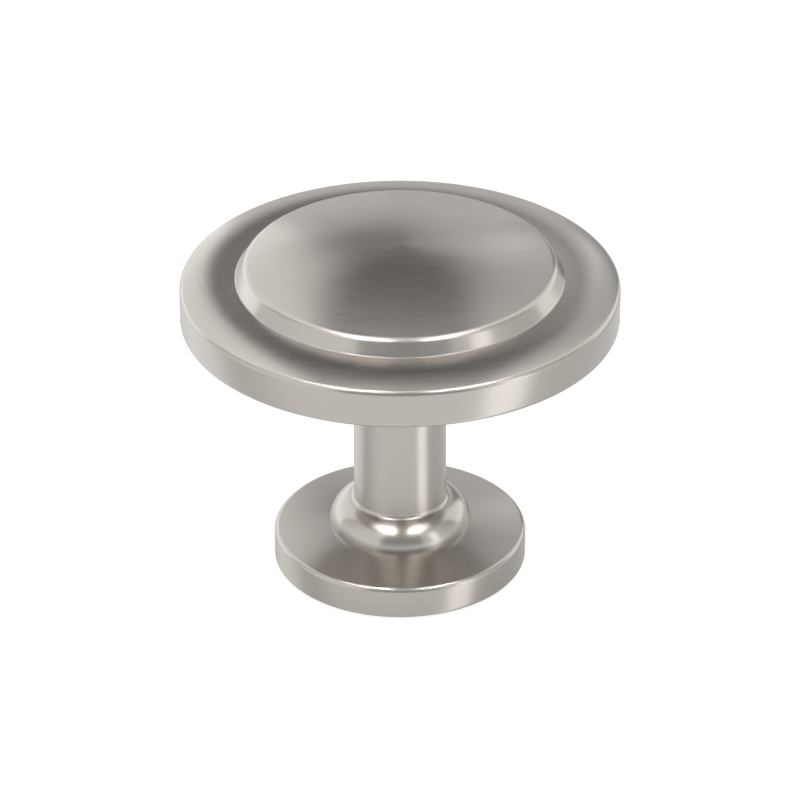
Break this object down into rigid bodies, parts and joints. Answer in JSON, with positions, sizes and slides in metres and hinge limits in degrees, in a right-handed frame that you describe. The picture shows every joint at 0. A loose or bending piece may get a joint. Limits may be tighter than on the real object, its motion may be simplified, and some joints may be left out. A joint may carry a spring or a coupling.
{
  "type": "cabinet knob",
  "caption": "Round cabinet knob in satin metal: stepped, gently domed head on a plain stem with a bead at its foot and a round base plate, tapped from below for a machine screw.",
  "frame": {"origin": "centre of the mounting face, the plane of the base plate's seat ring", "axes": "+Z is the turning axis and points from the door towards the head; the knob looks the same from every side, so X and Y are free"},
  "size_m": [0.032, 0.032, 0.0261],
  "materials": {
    "satin_nickel": "satin nickel plating over a zinc casting, brushed round the turning axis"
  },
  "bodies": {
    "root": {"knob": "satin_nickel"}
  },
  "joints": []
}
